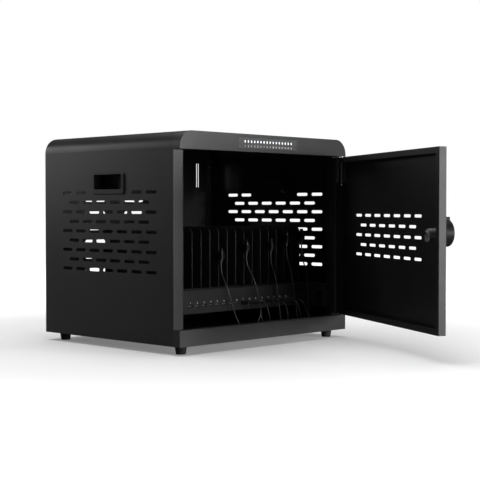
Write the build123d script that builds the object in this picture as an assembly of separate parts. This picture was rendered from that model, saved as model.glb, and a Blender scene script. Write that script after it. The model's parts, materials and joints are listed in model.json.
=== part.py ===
from build123d import *
import os
from math import cos, pi, radians, sin, tan

# Charging cabinet, in millimetres. X runs to the right across the front, +Y to the back, +Z up.
# The origin is the centre of the underside of the floor pan. The feet reach below it.
os.makedirs("parts", exist_ok=True)

# Case
WIDTH = 514.0
DEPTH = 440.0
HEIGHT = 430.0            # floor pan underside to top
SHEET = 1.2               # folded steel
TOP_R = 33.5              # outside radius of the long top bends
SILL_H = 33.4
HEADER_H = 37.0
FRAME_SETBACK = 18.5      # jamb faces lie this far behind the front plane
JAMB_W = 26.0
JAMB_RETURN = 14.0
HEADER_LIP = 9.0
SILL_EDGE_R = 0.72
REAR_FLANGE = 14.0
FLOOR_FLANGE = 12.0

# Vent slots
VENT_L = 33.3
VENT_H = 7.0
SIDE_VENT_ROWS = 9
SIDE_VENT_PITCH_Y = 45.75
SIDE_VENT_PITCH_Z = 20.4
SIDE_VENT_Y = 2.0
SIDE_VENT_DROP = 203.3    # middle of the rows below the top of the case
VENT_SLOTS = 7            # in a long row, one fewer in a short row
HANDLE_VENT_GAP = (2, 3, 4)   # slots left out of the top row, under the handle
DOOR_VENT_L = 33.0
DOOR_VENT_H = 6.0
DOOR_VENT_ROWS = 5
DOOR_VENT_PITCH_X = 49.3
DOOR_VENT_PITCH_Z = 21.35
DOOR_VENT_X = 11.5
DOOR_VENT_RISE = 4.05     # middle of the rows above the middle of the door
BACK_SLOT_W = 2.9
BACK_SLOT_L = 60.0
BACK_SLOT_PITCH = 6.0
BACK_SLOT_INSET = 47.3    # middle of each pair from the side of the case
BACK_SLOT_DROP = 42.0     # upper ends below the top of the case
BACK_VENT_L = 59.0
BACK_VENT_H = 10.8
BACK_VENT_COLUMNS = 3
BACK_VENT_ROWS = 6
BACK_VENT_PITCH_X = 117.0
BACK_VENT_PITCH_Z = 32.75
BACK_VENT_DROP = 134.1    # middle of the top row below the top of the case

# Carry handles
HANDLE_L = 104.0
HANDLE_H = 45.0
HANDLE_PROUD = 3.0
HANDLE_DROP = 103.4       # middle of the bezel below the top of the case
BEZEL_R = 6.0
BEZEL_CHAMFER = 1.5
GRIP_L = 90.0
GRIP_H = 31.0
GRIP_RISE = 3.9           # middle of the mouth above the middle of the bezel
MOUTH_R = 4.0
GRIP_DEPTH = 28.0
CUP_WALL = 2.0

# Clearances
CUT_CLEARANCE = 0.3       # round a piece that stands in a cut-out
RUNNING = 0.05            # radial, of pins and shafts

# Feet and fixings
FOOT_H = 17.5
FOOT_TOP_R = 12.6
FOOT_BOTTOM_R = 10.0
FOOT_INSET = 31.0
FOOT_BORE_R = 5.0
FOOT_BORE_H = 8.0
FOOT_SCREW_R = 2.0
FOOT_SCREW_HEAD_R = 4.0
FOOT_SCREW_HEAD_H = 2.6
FOOT_NUT_R = 4.0
FOOT_NUT_H = 3.2
FIXING_X = 360.0
FIXING_Y = 340.0
FIXING_R = 3.3
BACK_SCREW_R = 1.5
BACK_SCREW_HEAD_R = 3.0
BACK_SCREW_HEAD_H = 1.8
BACK_SCREW_L = 6.0

# Shelf, rack and its sixteen bays
SHELF_TOP = 103.8
SHELF_SETBACK = 86.0      # front edge of the shelf behind the front plane
TRAY_T = 3.0
GROOVE_DEPTH = 2.0
BAYS = 16
BAY_PITCH = 26.16
DIVIDER_T = 2.0
DIVIDER_L = 190.0
DIVIDER_TOP = 234.0
DIVIDER_SETBACK = 12.0    # behind the front edge of the shelf
DIVIDER_R = 13.0

# Charging hub under the shelf
HUB_SETBACK = 2.0         # behind the front edge of the shelf
HUB_REAR_GAP = 100.0
HUB_BOTTOM = 54.0
PORTS = 16
PORT_PITCH = 19.8
PORT_X = 3.0              # middle of the row of ports
PORT_RISE = 16.0          # middle of the ports above the bottom of the hub
PORT_W = 12.5
PORT_H = 5.1
PORT_WALL = 0.8
PORT_DEPTH = 14.0
TONGUE_W = 10.8
TONGUE_T = 1.8
BOARD_T = 1.6
BOARD_DEPTH = 78.0
BOARD_MARGIN = 10.0
STANDOFF_R = 3.0
SUPPLY = (140.0, 90.0, 34.0)
SUPPLY_INSET = 127.0      # its middle from the left side of the case
SUPPLY_REAR_GAP = 90.0    # its middle from the back of the hub
SUPPLY_R = 3.0
LOUVRES = 7
LOUVRE_W = 27.0
LOUVRE_H = 2.2
LOUVRE_PITCH = 4.6
LOUVRE_INSET = 34.5       # middle of the louvres from the right end of the hub
LOUVRE_DROP = 20.6        # middle of the louvres below the shelf

# Power box on the right wall
POWER_W = 33.0            # from the right side of the case
POWER_BOTTOM = 51.0
SWITCH_INSET = 14.7       # its middle behind the front of the power box
SWITCH_RISE = 25.0        # its middle above the bottom of the power box
SWITCH_W = 15.0
SWITCH_H = 21.0
SWITCH_FLANGE = 1.5
SWITCH_FLANGE_R = 1.5
SWITCH_BODY_W = 12.8
SWITCH_BODY_H = 18.8
SWITCH_BODY_D = 16.0
ROCKER_W = 10.0
ROCKER_HALF = 7.3
ROCKER_TILT = 8.0
ROCKER_PIVOT_R = 1.0
ROCKER_PIVOT_DEPTH = 2.5   # pivot line behind the flange face
ROCKER_SIDE_GAP = 0.3
ROCKER_END_GAP = 1.1
ROCKER_BACK = 3.0         # its back behind the pivot line
ROCKER_BACK_HALF = 4.0
ROCKER_END_BACK = 1.5     # the ends before the pivot line, back and face
ROCKER_END_FACE = 3.9
ROCKER_MIDDLE_FACE = 2.6
ROCKER_STUB_L = 0.8
ROCKER_STUB_WALL = 0.5
INLET_INSET = 16.0        # its middle from the right side of the case
INLET_RISE = 26.0         # its middle above the bottom of the power box
INLET_W = 27.0
INLET_H = 20.0
INLET_D = 18.0
INLET_WALL = 1.5
INLET_PIN = (2.0, 10.0, 4.0)
INLET_PIN_PITCH = 7.0
INLET_PIN_RISE = 2.0      # of the middle pin, and fall of the outer two
INLET_LIP_T = 1.5
INLET_LIP_SIDE = 1.0
INLET_LIP_END = 2.5

# Lamp panel in the header
LAMPS = 16
LAMP_PITCH = 9.53
LAMP_W = 3.0
LAMP_H = 5.0
LAMP_RISE = 2.9           # above the middle of the panel
PANEL_W = 180.0
PANEL_H = 23.0
PANEL_DROP = 18.5         # its middle below the top of the case
PANEL_RECESS = 0.3
PANEL_T = 1.6
PANEL_LEDGE = 3.0
LAMP_L = 3.4
RIBBON_W = 10.0
RIBBON_T = 1.0
RIBBON_INSET = 5.0        # from the right jamb's inner edge

# Door
DOOR_T = 16.5
DOOR_SIDE_GAP = 1.0
DOOR_TOP_GAP = 2.3
DOOR_BOTTOM_GAP = 2.8
DOOR_LIP = 12.0
DOOR_EDGE_R = 1.6
OPEN_ANGLE = 61.4         # how far the door stands open as modelled
PIVOT_INSET_X = 7.0       # hinge line from the right side of the case
PIVOT_INSET_Y = 5.8       # hinge line behind the front plane
PIN_R = 2.5
PIN_PROUD = 6.0           # how far the top pin enters the header
BARREL_R = 4.2
BARREL_L = 51.0
BARREL_DROP = 4.7         # below the top of the door
LEAF_W = 14.0
LEAF_T = 1.6
HINGE_NOTCH = 58.0
HINGE_NOTCH_D = 4.6
PIN_TAIL = 6.0
PIN_KNOB_R = 3.2
PIN_POINT = 0.8
PIVOT_L = 12.0
PIVOT_HEAD_H = 1.0
PIVOT_HEAD_R = 4.6
WASHER_R = 5.0

# Lock
LOCK_INSET = 36.0         # lock axis from the free edge of the door
LOCK_RISE = 14.55         # above the middle of the door
LOCK_R = 9.0
LOCK_REACH = 20.5         # end of the barrel behind the front plane
SPINDLE_R = 4.0
ROSE_R = 26.0
ROSE_T = 5.0
KNOB_R = 26.0
KNOB_T = 19.0
KNOB_EDGE = 5.0
KNOB_GAP = 0.3
POINTER_W = 11.0
POINTER_R = 31.0          # reach of the pointer from the knob's axis
POINTER_ROUND = 2.0
POINTER_SETBACK = 1.3     # behind the face of the knob
GRIP_BAR_W = 12.0
GRIP_BAR_L = 42.0
GRIP_BAR_CUT = 6.5
KEY_PLUG_R = 5.0
KEY_PLUG_L = 11.0
KEY_PLUG_PROUD = 1.0
KEY_SLOT = (1.6, 6.4, 6.0)
NUT_FLATS = 24.0
NUT_T = 3.0
CAM_L = 16.0
CAM_W = 15.0
CAM_T = 2.5
CAM_TIP_R = 3.0
CAM_SCREW_R = 3.6
CAM_SCREW_H = 2.5
STRIKE_H = 42.0

# Charging leads
LEAD_D = 3.0
PLUG_W = 15.5
PLUG_H = 7.8
PLUG_L = 22.0
PLUG_R = 2.5
PLUG_TIP_W = 12.0
PLUG_TIP_H = 4.5
PLUG_TIP_L = 11.0
PLUG_TIP_WALL = 0.35
RELIEF_L = 8.0
RELIEF_R = 2.6
RELIEF_STEP = 0.3
HEAD_W = 6.0
HEAD_D = 10.5
HEAD_L = 20.0
HEAD_R = 2.0
HEAD_STEP = 0.2
HEAD_TIP = (2.6, 8.4, 6.5)
CLIP_WALL = 1.2
CLIP_H = 12.0
CLIP_GRIP = 8.0
CLIP_SLACK = 0.1
CLIP_MOUTH = 3.9          # the slot in front, which the lead is pushed through

# Places worked out from the sizes above
LEFT = -WIDTH / 2
RIGHT = WIDTH / 2
FRONT = -DEPTH / 2
BACK = DEPTH / 2
INNER = WIDTH / 2 - SHEET
SKIN_BACK = FRONT + SHEET
FRAME_FACE = FRONT + FRAME_SETBACK
SHELL_FRONT = FRAME_FACE + SHEET
SHELL_BACK = BACK - SHEET
HEADER_Z = HEIGHT - HEADER_H
SIDE_VENT_Z = HEIGHT - SIDE_VENT_DROP
HANDLE_Z = HEIGHT - HANDLE_DROP
GRIP_Z = HANDLE_Z + GRIP_RISE
PANEL_Z = HEIGHT - PANEL_DROP
LAMP_Z = PANEL_Z + LAMP_RISE
BEND_Z = HEIGHT - TOP_R
SHELF_BOTTOM = SHELF_TOP - SHEET
SHELF_FRONT = FRONT + SHELF_SETBACK
DIVIDER_FRONT = SHELF_FRONT + DIVIDER_SETBACK
DIVIDER_BACK = DIVIDER_FRONT + DIVIDER_L
TRAY_BACK = DIVIDER_BACK + CLIP_SLACK + TRAY_T
HUB_FRONT = SHELF_FRONT + HUB_SETBACK
HUB_BACK = BACK - HUB_REAR_GAP
HUB_RIGHT = RIGHT - POWER_W
PORT_Z = HUB_BOTTOM + PORT_RISE
LOUVRE_X = HUB_RIGHT - LOUVRE_INSET
LOUVRE_Z = SHELF_BOTTOM - LOUVRE_DROP
SUPPLY_X = LEFT + SUPPLY_INSET
SUPPLY_Y = HUB_BACK - SUPPLY_REAR_GAP
POWER_FRONT = SHELL_FRONT + JAMB_RETURN + CUT_CLEARANCE
SWITCH_Y = POWER_FRONT + SWITCH_INSET
SWITCH_Z = POWER_BOTTOM + SWITCH_RISE
INLET_X = RIGHT - INLET_INSET
INLET_Z = POWER_BOTTOM + INLET_RISE
HUB_INNER = HUB_FRONT + SHEET
TRAY_TOP = SHELF_TOP + TRAY_T
GROOVE_Z = TRAY_TOP - GROOVE_DEPTH
RACK_HALF = BAYS * BAY_PITCH / 2
DOOR_LEFT = LEFT + DOOR_SIDE_GAP
DOOR_RIGHT = RIGHT - DOOR_SIDE_GAP
DOOR_Z0 = SILL_H + DOOR_BOTTOM_GAP
DOOR_Z1 = HEADER_Z - DOOR_TOP_GAP
DOOR_RIM = FRONT + DOOR_T
DOOR_MIDDLE = (DOOR_Z0 + DOOR_Z1) / 2
DOOR_VENT_Z = DOOR_MIDDLE + DOOR_VENT_RISE
LOCK_Z = DOOR_MIDDLE + LOCK_RISE
PIVOT_X = RIGHT - PIVOT_INSET_X
PIVOT_Y = FRONT + PIVOT_INSET_Y
LOCK_X = DOOR_LEFT + LOCK_INSET
LOCK_END = FRONT + LOCK_REACH
CAM_FACE = LOCK_END + KNOB_GAP
FOOT_X = WIDTH / 2 - FOOT_INSET
FOOT_Y = DEPTH / 2 - FOOT_INSET
FLOOR_TOP = SHEET

parts = {}


def block(x0, x1, y0, y1, z0, z1):
    """A block between two corners."""
    return Pos((x0 + x1) / 2, (y0 + y1) / 2, (z0 + z1) / 2) * Box(x1 - x0, y1 - y0, z1 - z0)


def rod_y(x, z, y0, y1, r):
    return Pos(x, (y0 + y1) / 2, z) * Rot(90, 0, 0) * Cylinder(r, y1 - y0)


def rod_z(x, y, z0, z1, r):
    return Pos(x, y, (z0 + z1) / 2) * Cylinder(r, z1 - z0)


def prism_y(sketch, y0, y1):
    """Extrudes a sketch drawn in X and Z from y0 back to y1."""
    plane = Plane(origin=(0, y1, 0), x_dir=(1, 0, 0), z_dir=(0, -1, 0))
    return extrude(plane * sketch, amount=y1 - y0)


def prism_x(sketch, x0, x1):
    """Extrudes a sketch drawn in Y and Z from x0 across to x1."""
    return extrude(Plane.YZ.offset(x0) * sketch, amount=x1 - x0)


def face_box(u0, u1, v0, v1):
    """A rectangle between two corners of a sketch."""
    return Pos((u0 + u1) / 2, (v0 + v1) / 2) * Rectangle(u1 - u0, v1 - v0)


def case_outline(inset, z0=0.0):
    """The front outline of the case, with its two rounded top corners, drawn inset mm smaller."""
    half, top, r = WIDTH / 2 - inset, HEIGHT - inset, TOP_R - inset
    body = face_box(-half, half, z0, top)
    return fillet(body.vertices().group_by(Axis.Y)[-1], r)


def vent_rows(rows, pitch_u, pitch_v, mid_u, mid_v, length, height, left_out=()):
    """Staggered rows of round-ended slots. Slots in left_out are missing from the top row."""
    slots = Sketch()
    for row in range(rows):
        count = VENT_SLOTS - row % 2
        v = mid_v + ((rows - 1) / 2 - row) * pitch_v
        for i in range(count):
            if row == 0 and i in left_out:
                continue
            u = mid_u + (i - (count - 1) / 2) * pitch_u
            slots += Pos(u, v) * SlotOverall(length, height)
    return slots


def fillet_along(solid, axis, radius):
    """Rounds every straight edge that runs along an axis."""
    return fillet(solid.edges().filter_by(axis), radius)


# The case: floor, sill, sides, top, header, jambs, back
def floor_pan():
    pan = block(-INNER, INNER, SKIN_BACK, SHELL_BACK, 0, FLOOR_TOP)
    for side in (-1, 1):
        edge = sorted((side * INNER, side * (INNER - SHEET)))
        pan += block(edge[0], edge[1], SHELL_FRONT, SHELL_BACK - SHEET, FLOOR_TOP, FLOOR_FLANGE)
    for x, y in foot_places():
        pan -= rod_z(x, y, -SHEET, 2 * SHEET, FOOT_SCREW_R + CUT_CLEARANCE)
    for x in (-FIXING_X / 2, FIXING_X / 2):
        for y in (-FIXING_Y / 2, FIXING_Y / 2):
            pan -= rod_z(x, y, -SHEET, 2 * SHEET, FIXING_R)
    return pan


def sill():
    outside = block(LEFT, RIGHT, FRONT, SHELL_FRONT, 0, SILL_H)
    inside = block(-INNER, INNER, SKIN_BACK, FRAME_FACE, -SHEET, SILL_H - SHEET)
    under = block(-INNER, INNER, SKIN_BACK, SHELL_FRONT + SHEET, -SHEET, FLOOR_TOP)
    body = outside - inside - under
    front_top = body.edges().filter_by(Axis.X).group_by(Axis.Y)[0].sort_by(Axis.Z)[-1]
    body = fillet(front_top, SILL_EDGE_R)
    return body - rod_z(PIVOT_X, PIVOT_Y, SILL_H - 2 * SHEET, SILL_H + SHEET, PIN_R + RUNNING)


def side_panel():
    """The left side. The right side is its mirror image."""
    sheet = face_box(SHELL_FRONT, SHELL_BACK, 0, BEND_Z)
    sheet -= vent_rows(SIDE_VENT_ROWS, SIDE_VENT_PITCH_Y, SIDE_VENT_PITCH_Z, SIDE_VENT_Y, SIDE_VENT_Z,
                       VENT_L, VENT_H, HANDLE_VENT_GAP)
    cut = 2 * (CUP_WALL + CUT_CLEARANCE)
    sheet -= Pos(0, GRIP_Z) * Rectangle(GRIP_L + cut, GRIP_H + cut)
    return prism_x(sheet, LEFT, LEFT + SHEET)


def top_panel():
    bend = case_outline(0) - case_outline(SHEET, -SHEET)
    bend &= face_box(LEFT, RIGHT, BEND_Z, HEIGHT)
    return prism_y(bend, SHELL_FRONT, SHELL_BACK)


def header():
    """A folded channel: face, rim that follows the case, bottom return and its turned-up lip."""
    face = prism_y(case_outline(0, HEADER_Z), FRONT, SKIN_BACK)
    ring = case_outline(0, HEADER_Z) - case_outline(SHEET, HEADER_Z - SHEET)
    body = face + prism_y(ring, SKIN_BACK, SHELL_FRONT)
    body += block(-INNER, INNER, SKIN_BACK, SHELL_FRONT, HEADER_Z, HEADER_Z + SHEET)
    body += block(-INNER, INNER, FRAME_FACE, SHELL_FRONT, HEADER_Z + SHEET, HEADER_Z + HEADER_LIP)
    window = Pos(0, PANEL_Z) * Rectangle(PANEL_W + 2 * CUT_CLEARANCE, PANEL_H + 2 * CUT_CLEARANCE)
    body -= prism_y(window, FRONT - SHEET, SKIN_BACK + SHEET)
    return body - rod_z(PIVOT_X, PIVOT_Y, HEADER_Z - SHEET, HEADER_Z + 2 * SHEET, PIN_R + RUNNING)


def jamb(strike):
    """The left door jamb. The lock cam turns behind its face, through a gap in its return."""
    z0, z1 = SILL_H, HEADER_Z
    inner = LEFT + JAMB_W
    body = block(LEFT, inner, FRAME_FACE, SHELL_FRONT, z0, z1)
    body += block(inner - SHEET, inner, SHELL_FRONT, SHELL_FRONT + JAMB_RETURN, z0, z1)
    if strike:
        body -= block(inner - 2 * SHEET, inner + SHEET, SHELL_FRONT, SHELL_FRONT + JAMB_RETURN,
                      LOCK_Z - STRIKE_H / 2, LOCK_Z + STRIKE_H / 2)
    return body


def back_screw_places():
    """Eight screws round the edge of the back panel."""
    x = INNER - REAR_FLANGE / 2
    low, high = REAR_FLANGE / 2 + FLOOR_TOP, HEIGHT - SHEET - REAR_FLANGE / 2
    places = [(s * x, z) for s in (-1, 1) for z in (low + TOP_R, SIDE_VENT_Z, BEND_Z - TOP_R / 2)]
    return places + [(-x / 2, high), (x / 2, high)]


def rear_frame():
    inside = fillet(face_box(-INNER + REAR_FLANGE, INNER - REAR_FLANGE, FLOOR_TOP + REAR_FLANGE,
                             HEIGHT - SHEET - REAR_FLANGE).vertices(), TOP_R / 2)
    frame = (case_outline(SHEET, FLOOR_TOP) - inside)
    body = prism_y(frame, SHELL_BACK - SHEET, SHELL_BACK)
    body -= power_space()
    for x, z in back_screw_places():
        body -= rod_y(x, z, SHELL_BACK - 2 * SHEET, BACK, BACK_SCREW_R)
    return body


def back_panel():
    sheet = case_outline(0)
    for side in (-1, 1):
        for i in (-0.5, 0.5):
            x = side * (WIDTH / 2 - BACK_SLOT_INSET) + i * BACK_SLOT_PITCH
            z = HEIGHT - BACK_SLOT_DROP - BACK_SLOT_L / 2
            sheet -= Pos(x, z) * Rot(0, 0, 90) * SlotOverall(BACK_SLOT_L, BACK_SLOT_W)
    for column in range(BACK_VENT_COLUMNS):
        for row in range(BACK_VENT_ROWS):
            x = (column - (BACK_VENT_COLUMNS - 1) / 2) * BACK_VENT_PITCH_X
            z = HEIGHT - BACK_VENT_DROP - row * BACK_VENT_PITCH_Z
            sheet -= Pos(x, z) * SlotOverall(BACK_VENT_L, BACK_VENT_H)
    sheet -= Pos(INLET_X, INLET_Z) * Rectangle(INLET_W + CUT_CLEARANCE, INLET_H + CUT_CLEARANCE)
    body = prism_y(sheet, SHELL_BACK, BACK)
    for x, z in back_screw_places():
        body -= rod_y(x, z, SHELL_BACK - SHEET, BACK + SHEET, BACK_SCREW_R)
    return body


def back_screws():
    body = Part()
    for x, z in back_screw_places():
        screw = rod_y(x, z, BACK - BACK_SCREW_L, BACK, BACK_SCREW_R)
        screw += rod_y(x, z, BACK, BACK + BACK_SCREW_HEAD_H, BACK_SCREW_HEAD_R)
        body += screw
    return body


def handle_cup():
    """The left carry handle: a moulded bezel and a cup that stands in the side panel."""
    plate = Pos(0, HANDLE_Z) * RectangleRounded(HANDLE_L, HANDLE_H, BEZEL_R)
    mouth = Pos(0, GRIP_Z) * RectangleRounded(GRIP_L, GRIP_H, MOUTH_R)
    cup = Pos(0, GRIP_Z) * Rectangle(GRIP_L + 2 * CUP_WALL, GRIP_H + 2 * CUP_WALL)
    bezel = prism_x(plate, LEFT - HANDLE_PROUD, LEFT)
    bezel = chamfer(bezel.faces().sort_by(Axis.X)[0].edges(), BEZEL_CHAMFER)
    body = bezel + prism_x(cup, LEFT, LEFT + GRIP_DEPTH)
    return body - prism_x(mouth, LEFT - 2 * HANDLE_PROUD, LEFT + GRIP_DEPTH - CUP_WALL)


# Feet
def foot_places():
    return [(x, y) for x in (-FOOT_X, FOOT_X) for y in (-FOOT_Y, FOOT_Y)]


def feet():
    """Four tapered feet, bored from below for their screws."""
    body = Part()
    for x, y in foot_places():
        foot = Pos(x, y, -FOOT_H / 2) * Cone(FOOT_BOTTOM_R, FOOT_TOP_R, FOOT_H)
        foot -= rod_z(x, y, -FOOT_H, -FOOT_H + FOOT_BORE_H, FOOT_BORE_R)
        body += foot - rod_z(x, y, -FOOT_H, 0, FOOT_SCREW_R + CUT_CLEARANCE)
    return body


def foot_screws():
    """Screws up through the feet, headed in the bores."""
    body = Part()
    seat = -FOOT_H + FOOT_BORE_H
    for x, y in foot_places():
        screw = rod_z(x, y, seat, FLOOR_TOP + FOOT_NUT_H + FOOT_SCREW_R, FOOT_SCREW_R)
        body += screw + rod_z(x, y, seat - FOOT_SCREW_HEAD_H, seat, FOOT_SCREW_HEAD_R)
    return body


def foot_nuts():
    """Hexagon nuts on the foot screws, on the floor pan."""
    body = Part()
    for x, y in foot_places():
        nut = Pos(x, y, FLOOR_TOP) * extrude(RegularPolygon(FOOT_NUT_R, 6), amount=FOOT_NUT_H)
        body += nut - rod_z(x, y, FLOOR_TOP, FLOOR_TOP + FOOT_NUT_H, FOOT_SCREW_R + RUNNING)
    return body


# Shelf and rack
def shelf():
    return block(-INNER, INNER, SHELF_FRONT, SHELL_BACK - SHEET, SHELF_BOTTOM, SHELF_TOP)


def divider_x(i):
    return -RACK_HALF + i * BAY_PITCH


def rack_tray():
    half = RACK_HALF + DIVIDER_T + CUT_CLEARANCE + TRAY_T
    body = block(-half, half, DIVIDER_FRONT - TRAY_T, TRAY_BACK, SHELF_TOP, TRAY_TOP)
    for i in range(BAYS + 1):
        x = divider_x(i)
        wide = DIVIDER_T / 2 + CLIP_SLACK
        body -= block(x - wide, x + wide, DIVIDER_FRONT - CLIP_SLACK, DIVIDER_BACK + CLIP_SLACK,
                      GROOVE_Z, TRAY_TOP)
    return body


def bay_dividers():
    outline = face_box(DIVIDER_FRONT, DIVIDER_BACK, GROOVE_Z, DIVIDER_TOP)
    outline = fillet(outline.vertices().group_by(Axis.Y)[-1], DIVIDER_R)
    body = Part()
    for i in range(BAYS + 1):
        x = divider_x(i) - DIVIDER_T / 2
        body += prism_x(outline, x, x + DIVIDER_T)
    return body


# Charging hub
def port_x(i):
    """Middle of port i, counted from 1 at the left."""
    return PORT_X + (i - (PORTS + 1) / 2) * PORT_PITCH


BOARD_TOP = PORT_Z - PORT_H / 2 - PORT_WALL
BOARD_X0 = port_x(1) - BOARD_MARGIN
BOARD_X1 = port_x(PORTS) + BOARD_MARGIN


def hub_housing():
    """A folded box, open at the front. Four standoffs carry the board."""
    body = block(-INNER, HUB_RIGHT, HUB_INNER, HUB_BACK, HUB_BOTTOM, SHELF_BOTTOM)
    body -= block(-INNER + SHEET, HUB_RIGHT - SHEET, HUB_INNER, HUB_BACK - SHEET,
                  HUB_BOTTOM + SHEET, SHELF_BOTTOM - SHEET)
    for x in (BOARD_X0 + BOARD_MARGIN, BOARD_X1 - BOARD_MARGIN):
        for y in (HUB_INNER + BOARD_MARGIN + PORT_DEPTH, HUB_INNER + BOARD_DEPTH - BOARD_MARGIN):
            body += rod_z(x, y, HUB_BOTTOM + SHEET, BOARD_TOP - BOARD_T, STANDOFF_R)
    return body


def hub_front():
    sheet = face_box(-INNER, HUB_RIGHT, HUB_BOTTOM, SHELF_BOTTOM)
    for i in range(1, PORTS + 1):
        sheet -= Pos(port_x(i), PORT_Z) * Rectangle(PORT_W, PORT_H)
    for i in range(LOUVRES):
        z = LOUVRE_Z + (i - (LOUVRES - 1) / 2) * LOUVRE_PITCH
        sheet -= Pos(LOUVRE_X, z) * Rectangle(LOUVRE_W, LOUVRE_H)
    return prism_y(sheet, HUB_FRONT, HUB_INNER)


def usb_ports():
    """Sixteen sockets, each a box open at the front with a contact tongue inside."""
    body = Part()
    for i in range(1, PORTS + 1):
        x = port_x(i)
        w, h = PORT_W / 2, PORT_H / 2
        shell = block(x - w - PORT_WALL, x + w + PORT_WALL, HUB_INNER, HUB_INNER + PORT_DEPTH,
                      PORT_Z - h - PORT_WALL, PORT_Z + h + PORT_WALL)
        shell -= block(x - w, x + w, HUB_INNER, HUB_INNER + PORT_DEPTH - PORT_WALL, PORT_Z - h, PORT_Z + h)
        shell += block(x - TONGUE_W / 2, x + TONGUE_W / 2, HUB_INNER + PORT_WALL, HUB_INNER + PORT_DEPTH,
                       PORT_Z - TONGUE_T / 2, PORT_Z + TONGUE_T / 2)
        body += shell
    return body


def hub_board():
    return block(BOARD_X0, BOARD_X1, HUB_INNER, HUB_INNER + BOARD_DEPTH, BOARD_TOP - BOARD_T, BOARD_TOP)


def power_supply():
    w, d, h = SUPPLY
    z = HUB_BOTTOM + SHEET
    body = block(SUPPLY_X - w / 2, SUPPLY_X + w / 2, SUPPLY_Y - d / 2, SUPPLY_Y + d / 2, z, z + h)
    return fillet_along(body, Axis.Z, SUPPLY_R)


# Power box, switch and inlet
def power_space():
    """The space inside the power box, which runs through to the back panel."""
    return block(HUB_RIGHT + SHEET, INNER - SHEET, POWER_FRONT + SHEET, BACK,
                 POWER_BOTTOM + SHEET, SHELF_BOTTOM - SHEET)


def power_box():
    body = block(HUB_RIGHT, INNER, POWER_FRONT, SHELL_BACK - SHEET, POWER_BOTTOM, SHELF_BOTTOM)
    body -= power_space()
    hole_w = SWITCH_BODY_W + 2 * CUT_CLEARANCE
    hole_h = SWITCH_BODY_H + 2 * CUT_CLEARANCE
    return body - block(HUB_RIGHT - 1, HUB_RIGHT + 2 * SHEET, SWITCH_Y - hole_w / 2, SWITCH_Y + hole_w / 2,
                        SWITCH_Z - hole_h / 2, SWITCH_Z + hole_h / 2)


ROCKER_X = HUB_RIGHT - SWITCH_FLANGE + ROCKER_PIVOT_DEPTH


def switch_body():
    """Flange outside the power box, body inside it, with the pocket that the rocker tips in."""
    flange = prism_x(Pos(SWITCH_Y, SWITCH_Z) * RectangleRounded(SWITCH_W, SWITCH_H, SWITCH_FLANGE_R),
                     HUB_RIGHT - SWITCH_FLANGE, HUB_RIGHT)
    w, h = SWITCH_BODY_W / 2, SWITCH_BODY_H / 2
    body = flange + block(HUB_RIGHT, HUB_RIGHT + SWITCH_BODY_D, SWITCH_Y - w, SWITCH_Y + w,
                          SWITCH_Z - h, SWITCH_Z + h)
    pw, ph = ROCKER_W / 2 + ROCKER_SIDE_GAP, ROCKER_HALF + ROCKER_END_GAP
    body -= block(HUB_RIGHT - SWITCH_FLANGE, HUB_RIGHT + SWITCH_BODY_D / 2, SWITCH_Y - pw, SWITCH_Y + pw,
                  SWITCH_Z - ph, SWITCH_Z + ph)
    reach = w - ROCKER_STUB_WALL
    return body - rod_y(ROCKER_X, SWITCH_Z, SWITCH_Y - reach, SWITCH_Y + reach, ROCKER_PIVOT_R + RUNNING)


def rocker():
    """The rocker, tipped to its rest side. Its face is a shallow V."""
    with BuildSketch() as profile:
        with BuildLine():
            Polyline((ROCKER_BACK, -ROCKER_BACK_HALF), (ROCKER_BACK, ROCKER_BACK_HALF),
                     (-ROCKER_END_BACK, ROCKER_HALF), (-ROCKER_END_FACE, ROCKER_HALF),
                     (-ROCKER_MIDDLE_FACE, 0), (-ROCKER_END_FACE, -ROCKER_HALF),
                     (-ROCKER_END_BACK, -ROCKER_HALF), close=True)
        make_face()
    plane = Plane(origin=(0, ROCKER_W / 2, 0), x_dir=(1, 0, 0), z_dir=(0, -1, 0))
    body = extrude(plane * profile.sketch, amount=ROCKER_W)
    stub = ROCKER_W / 2 + ROCKER_STUB_L
    body += Rot(90, 0, 0) * Cylinder(ROCKER_PIVOT_R, 2 * stub)
    return Pos(ROCKER_X, SWITCH_Y, SWITCH_Z) * Rot(0, ROCKER_TILT, 0) * body


def mains_inlet():
    """A recessed three-pin inlet in the back panel."""
    w, h = INLET_W / 2, INLET_H / 2
    y0, y1 = SHELL_BACK - INLET_D, BACK
    body = block(INLET_X - w, INLET_X + w, y0, y1, INLET_Z - h, INLET_Z + h)
    body += block(INLET_X - w - INLET_LIP_SIDE, INLET_X + w + INLET_LIP_SIDE, BACK, BACK + INLET_LIP_T,
                  INLET_Z - h - INLET_LIP_END, INLET_Z + h + INLET_LIP_END)
    body -= block(INLET_X - w + INLET_WALL, INLET_X + w - INLET_WALL, y0 + INLET_WALL, BACK + INLET_LIP_T,
                  INLET_Z - h + INLET_WALL, INLET_Z + h - INLET_WALL)
    t, deep, tall = INLET_PIN
    for side in (-1, 0, 1):
        x, z = INLET_X + side * INLET_PIN_PITCH, INLET_Z + INLET_PIN_RISE * (1 - 2 * abs(side))
        body += block(x - t / 2, x + t / 2, y0 + INLET_WALL, y0 + INLET_WALL + deep,
                      z - tall / 2, z + tall / 2)
    return body


# Lamp panel
PANEL_FACE = FRONT + PANEL_RECESS
LEDGE_BACK = SKIN_BACK + PANEL_T


def lamp_x(i):
    return (i - (LAMPS - 1) / 2) * LAMP_PITCH


def lamp_slots():
    slots = Sketch()
    for i in range(LAMPS):
        slots += Pos(lamp_x(i), LAMP_Z) * Rot(0, 0, 90) * SlotOverall(LAMP_H, LAMP_W)
    return slots


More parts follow.
